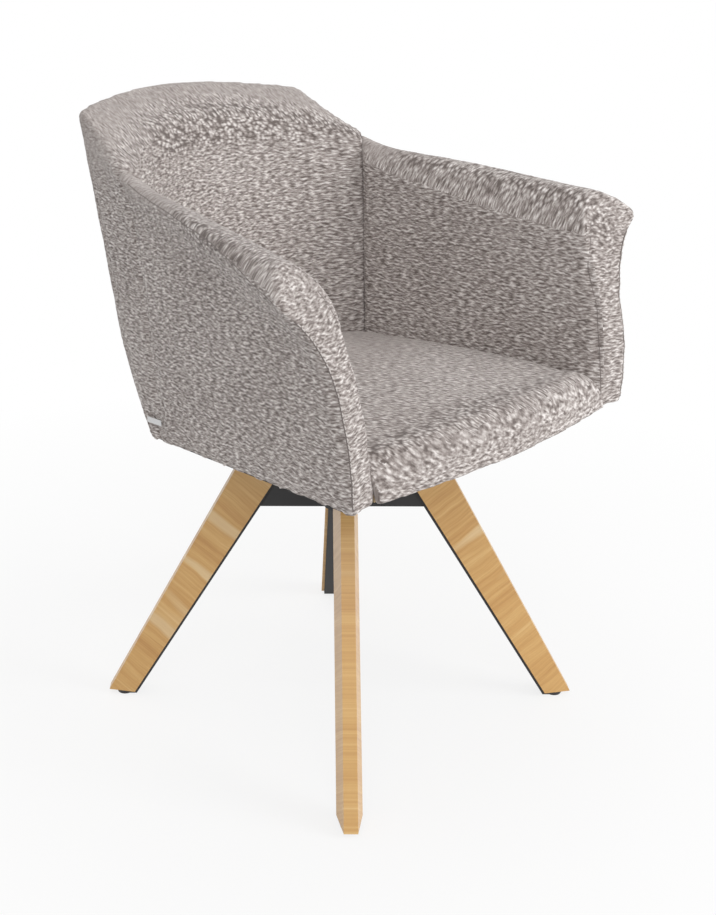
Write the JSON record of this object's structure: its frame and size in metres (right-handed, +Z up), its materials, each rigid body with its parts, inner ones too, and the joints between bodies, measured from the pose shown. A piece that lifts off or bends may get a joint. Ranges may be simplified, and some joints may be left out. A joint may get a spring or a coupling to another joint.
{
  "type": "swivel dining chair",
  "caption": "Upholstered tub dining chair with flared arms that swivels on a steel cross with splayed wooden legs.",
  "frame": {"origin": "on the floor, under the middle of the chair's overall width and depth; the swivel axis is 36 mm in front of it (towards -Y)", "axes": "+Z up; -Y is the chair's front, where the sitter's knees are; +X is the sitter's left"},
  "size_m": [0.6766, 0.6259, 0.8255],
  "materials": {
    "oak": "clear matt lacquer",
    "frame_wood": "raw plywood, hidden",
    "black_wood": "matt black stain",
    "black_steel": "matt black powder coat",
    "zinc_steel": "zinc plated",
    "bearing_steel": "polished",
    "black_plastic": "moulded",
    "upholstery": "grey-taupe melange boucle over foam",
    "dust_cloth": "black non-woven cloth",
    "tag_cloth": "woven satin tape, blank"
  },
  "bodies": {
    "base": {"ball_cage": "black_plastic", "bearing_balls": "bearing_steel", "cross_arm_front_left": "black_steel", "cross_arm_front_right": "black_steel", "cross_arm_rear_left": "black_steel", "cross_arm_rear_right": "black_steel", "foot_glide_front_left": "black_plastic", "foot_glide_front_right": "black_plastic", "foot_glide_rear_left": "black_plastic", "foot_glide_rear_right": "black_plastic", "hub_tube": "black_steel", "leg_front_left": "oak", "leg_front_right": "oak", "leg_rear_left": "oak", "leg_rear_right": "oak", "leg_screws": "zinc_steel", "leg_strap_front_left": "black_steel", "leg_strap_front_right": "black_steel", "leg_strap_rear_left": "black_steel", "leg_strap_rear_right": "black_steel", "lower_race": "zinc_steel", "spindle_bush": "black_plastic", "swivel_lower_plate": "black_steel"},
    "seat": {"arm_facing_left": "upholstery", "arm_facing_right": "upholstery", "arm_pad_left": "upholstery", "arm_pad_right": "upholstery", "back_cover": "upholstery", "back_frame": "frame_wood", "back_pad": "upholstery", "bottom_cover": "dust_cloth", "frame_screws": "zinc_steel", "mount_bolts": "zinc_steel", "mount_rail_left": "black_wood", "mount_rail_right": "black_wood", "piping_left": "upholstery", "piping_right": "upholstery", "seat_board": "frame_wood", "seat_cushion": "upholstery", "side_cover_left": "upholstery", "side_cover_right": "upholstery", "side_frame_left": "frame_wood", "side_frame_right": "frame_wood", "side_tag": "tag_cloth", "spindle": "zinc_steel", "spindle_nut": "zinc_steel", "spindle_washer": "zinc_steel", "swivel_upper_plate": "black_steel", "threaded_inserts": "zinc_steel", "upper_race": "zinc_steel"}
  },
  "joints": [
    {"name": "seat_swivel", "type": "hinge", "parent": "base", "child": "seat", "pos_m": [0, -0.036, 0], "axis": [0, 0, 1], "continuous": true}
  ]
}
